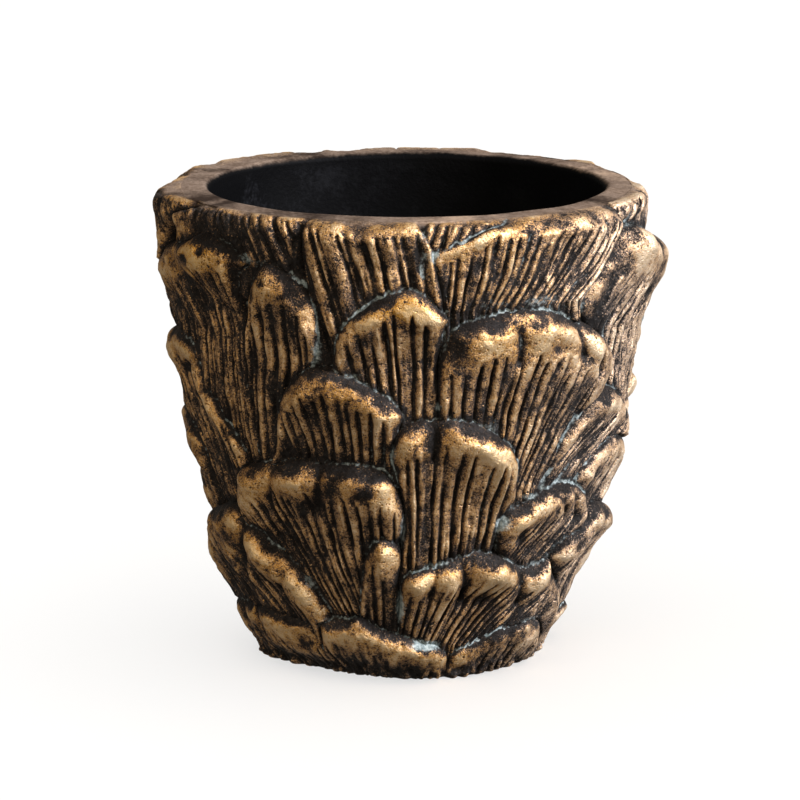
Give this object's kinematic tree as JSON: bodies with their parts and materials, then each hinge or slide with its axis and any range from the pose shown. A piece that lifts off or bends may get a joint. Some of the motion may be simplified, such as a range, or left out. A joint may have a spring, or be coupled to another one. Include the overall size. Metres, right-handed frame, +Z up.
{
  "type": "planter pot",
  "caption": "Round tapered planter pot covered with overlapping grooved scales in an antique brass finish, with a thick flat rim and a plain black inside.",
  "frame": {"origin": "on the pot's axis at the resting face", "axes": "+Z up through the mouth, -Y towards the front shown in the picture, +X to the right"},
  "size_m": [0.2187, 0.2131, 0.2],
  "materials": {
    "core": "matt black inside, dusty brown rim",
    "scales": "antique brass coat with dark patina and green-blue traces in the recesses"
  },
  "bodies": {
    "root": {"pot_core": "core", "rim_left": "scales", "rim_front_left": "scales", "rim_front": "scales", "rim_front_small": "scales", "rim_front_right": "scales", "rim_right": "scales", "rim_back_right": "scales", "rim_back": "scales", "rim_back_left": "scales", "rim_left_back": "scales", "shoulder_left": "scales", "shoulder_front_left": "scales", "shoulder_right": "scales", "shoulder_back_right": "scales", "shoulder_back": "scales", "shoulder_back_left": "scales", "shoulder_left_back": "scales", "upper_front": "scales", "upper_front_right": "scales", "upper_left": "scales", "upper_back_right": "scales", "upper_back": "scales", "upper_back_left": "scales", "upper_left_back": "scales", "middle_front_left": "scales", "middle_front": "scales", "middle_right": "scales", "middle_left": "scales", "middle_back_right": "scales", "middle_back": "scales", "middle_back_left": "scales", "middle_left_back": "scales", "lower_front_left": "scales", "lower_right": "scales", "lower_front_right": "scales", "lower_left": "scales", "lower_right_back": "scales", "lower_back_right": "scales", "lower_back": "scales", "lower_back_left": "scales", "lower_left_back": "scales", "skirt_front_small": "scales", "skirt_front_right": "scales", "skirt_right_back": "scales", "skirt_back": "scales", "skirt_back_left": "scales", "skirt_left_back": "scales", "base_left": "scales", "base_front_left": "scales", "base_front": "scales", "base_front_right": "scales", "base_right": "scales", "base_back_right": "scales", "base_back": "scales", "base_back_left": "scales", "base_left_back": "scales"}
  },
  "joints": []
}
